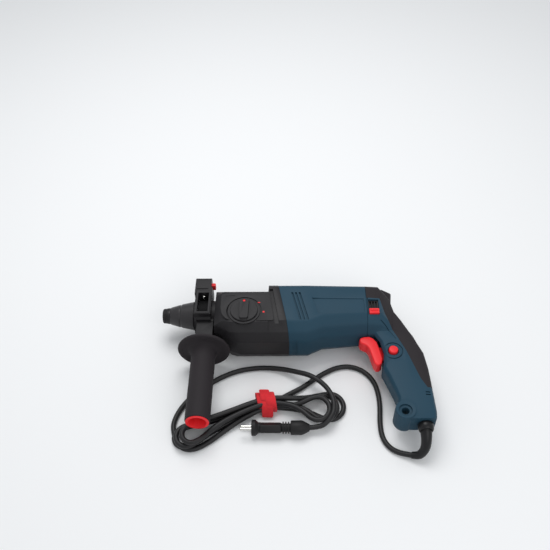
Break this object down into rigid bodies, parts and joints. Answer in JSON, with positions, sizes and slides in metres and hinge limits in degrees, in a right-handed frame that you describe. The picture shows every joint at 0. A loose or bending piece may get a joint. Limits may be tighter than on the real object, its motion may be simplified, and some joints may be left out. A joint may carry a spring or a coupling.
{
  "type": "rotary hammer",
  "caption": "Corded rotary hammer with a quick-release chuck, wobble-driven hammer mechanism, mode knob, pistol handle, turning side handle and a hanked mains cord with plug.",
  "frame": {"origin": "centre of the tool holder's bore mouth, on the barrel axis", "axes": "+X from the bit end to the main handle along the barrel axis; +Y to the top of the tool, so both handles point to -Y; +Z to the left side of the tool, which faces up as the tool lies on its right side"},
  "size_m": [0.3675, 0.2656, 0.083],
  "materials": {
    "teal_plastic": "fine matte moulded nylon",
    "black_plastic": "fine matte moulded nylon",
    "soft_rubber": "soft-touch rubber",
    "red_plastic": "satin moulded plastic",
    "steel": "ground steel",
    "dark_steel": "phosphated steel",
    "aluminium": "die-cast",
    "copper": "enamelled copper wire",
    "core_steel": "laminated steel",
    "carbon": "carbon",
    "seal_rubber": "black rubber",
    "cord_rubber": "smooth rubber cord sheath",
    "strap": "woven hook-and-loop strap",
    "chrome": "nickel plated"
  },
  "bodies": {
    "housing": {"gear_housing": "black_plastic", "motor_housing": "teal_plastic", "handle_left": "teal_plastic", "handle_right": "teal_plastic", "soft_grip": "soft_rubber", "vent_grille": "black_plastic", "handle_screws": "dark_steel", "flange_screws": "dark_steel", "inner_flange": "aluminium", "bearing_bridge": "aluminium", "spindle_bearings": "steel", "intermediate_bearings": "steel", "motor_bearings": "steel", "field_core": "core_steel", "field_windings": "copper", "brush_carrier": "black_plastic", "carbon_brushes": "carbon", "front_seal": "seal_rubber", "switch_body": "black_plastic", "strain_relief": "cord_rubber", "cord_clamp": "black_plastic", "cord_lead": "cord_rubber", "cord_tail": "cord_rubber", "cord_hank": "cord_rubber", "cord_tie": "strap", "plug_body": "seal_rubber", "plug_pins": "chrome"},
    "spindle": {"tool_holder": "dark_steel", "spindle_tube": "steel", "spindle_gear": "steel", "dust_cap": "seal_rubber", "sleeve_stop_ring": "steel", "sleeve_spring": "steel", "locking_balls": "chrome", "impact_bolt_guide": "steel"},
    "sleeve": {"locking_sleeve": "black_plastic"},
    "impact_bolt": {"impact_bolt": "steel"},
    "striker": {"striker": "steel"},
    "piston": {"piston": "aluminium"},
    "wobble": {"wobble_ring": "steel"},
    "intermediate": {"intermediate_shaft": "steel", "intermediate_gear": "steel", "wobble_hub": "steel"},
    "shift_sleeve": {"shift_sleeve": "steel"},
    "shift_plate": {"shift_plate": "steel"},
    "mode_knob": {"mode_knob": "black_plastic"},
    "armature": {"armature_shaft": "steel", "armature_core": "core_steel", "armature_windings": "copper", "commutator": "copper", "cooling_fan": "black_plastic"},
    "trigger": {"trigger": "red_plastic"},
    "lock_button": {"lock_button": "red_plastic"},
    "reversing_slider": {"reversing_slider": "red_plastic"},
    "collar": {"collar_body": "black_plastic", "clamp_band": "dark_steel", "clamp_stud": "steel"},
    "stop_button": {"depth_stop_button": "red_plastic"},
    "side_grip": {"side_grip": "soft_rubber", "grip_cup": "red_plastic"}
  },
  "joints": [
    {"name": "armature_spin", "type": "hinge", "parent": "housing", "child": "armature", "pos_m": [0.2, -0.01175, 0], "axis": [1, 0, 0], "continuous": true},
    {"name": "intermediate_spin", "type": "hinge", "parent": "housing", "child": "intermediate", "pos_m": [0.12, -0.03375, 0], "axis": [1, 0, 0], "continuous": true},
    {"name": "spindle_spin", "type": "hinge", "parent": "housing", "child": "spindle", "pos_m": [0.08, 0, 0], "axis": [1, 0, 0], "continuous": true},
    {"name": "sleeve_slide", "type": "slide", "parent": "spindle", "child": "sleeve", "axis": [1, 0, 0], "range_m": [0, 0.005], "stiffness_N_per_m": 1500, "springref_m": -0.003},
    {"name": "impact_bolt_slide", "type": "slide", "parent": "spindle", "child": "impact_bolt", "axis": [1, 0, 0], "range_m": [-0.003, 0]},
    {"name": "striker_slide", "type": "slide", "parent": "spindle", "child": "striker", "axis": [1, 0, 0], "range_m": [-0.0077, 0.0025]},
    {"name": "wobble_rock", "type": "hinge", "parent": "housing", "child": "wobble", "pos_m": [0.1365, -0.03375, 0], "axis": [0, 0, 1], "range_deg": [-12, 12]},
    {"name": "piston_slide", "type": "slide", "parent": "housing", "child": "piston", "axis": [1, 0, 0], "range_m": [-0.00706, 0.00706]},
    {"name": "knob_turn", "type": "hinge", "parent": "housing", "child": "mode_knob", "pos_m": [0.117, -0.022, 0.04], "axis": [0, 0, 1], "range_deg": [-75, 100]},
    {"name": "shift_plate_slide", "type": "slide", "parent": "housing", "child": "shift_plate", "axis": [1, 0, 0], "range_m": [-0.00349, 0.00261]},
    {"name": "shift_sleeve_slide", "type": "slide", "parent": "intermediate", "child": "shift_sleeve", "axis": [1, 0, 0], "range_m": [-0.0036, 0.0028]},
    {"name": "trigger_pull", "type": "slide", "parent": "housing", "child": "trigger", "axis": [1, 0, 0], "range_m": [0, 0.006], "stiffness_N_per_m": 800, "springref_m": -0.005},
    {"name": "lock_button_press", "type": "slide", "parent": "housing", "child": "lock_button", "axis": [0, 0, -1], "range_m": [0, 0.003], "stiffness_N_per_m": 1000, "springref_m": -0.002},
    {"name": "reversing_slide", "type": "slide", "parent": "housing", "child": "reversing_slider", "axis": [0, 1, 0], "range_m": [0, 0.009]},
    {"name": "collar_turn", "type": "hinge", "parent": "housing", "child": "collar", "pos_m": [0.061, 0, 0], "axis": [-1, 0, 0], "range_deg": [0, 270]},
    {"name": "stop_button_press", "type": "slide", "parent": "collar", "child": "stop_button", "axis": [-1, 0, 0], "range_m": [0, 0.003], "stiffness_N_per_m": 1000, "springref_m": -0.002},
    {"name": "grip_twist", "type": "hinge", "parent": "collar", "child": "side_grip", "pos_m": [0.061, -0.12, 0], "axis": [0, 1, 0], "range_deg": [0, 360]}
  ],
  "couplings": [
    {"joint": "intermediate_spin", "follows": "armature_spin", "ratio": -0.22222},
    {"joint": "spindle_spin", "follows": "armature_spin", "ratio": 0.063492},
    {"joint": "wobble_rock", "follows": "piston_slide", "rad_per_m": -29.63},
    {"joint": "knob_turn", "follows": "shift_plate_slide", "rad_per_m": -500},
    {"joint": "shift_sleeve_slide", "follows": "shift_plate_slide", "ratio": 1}
  ]
}
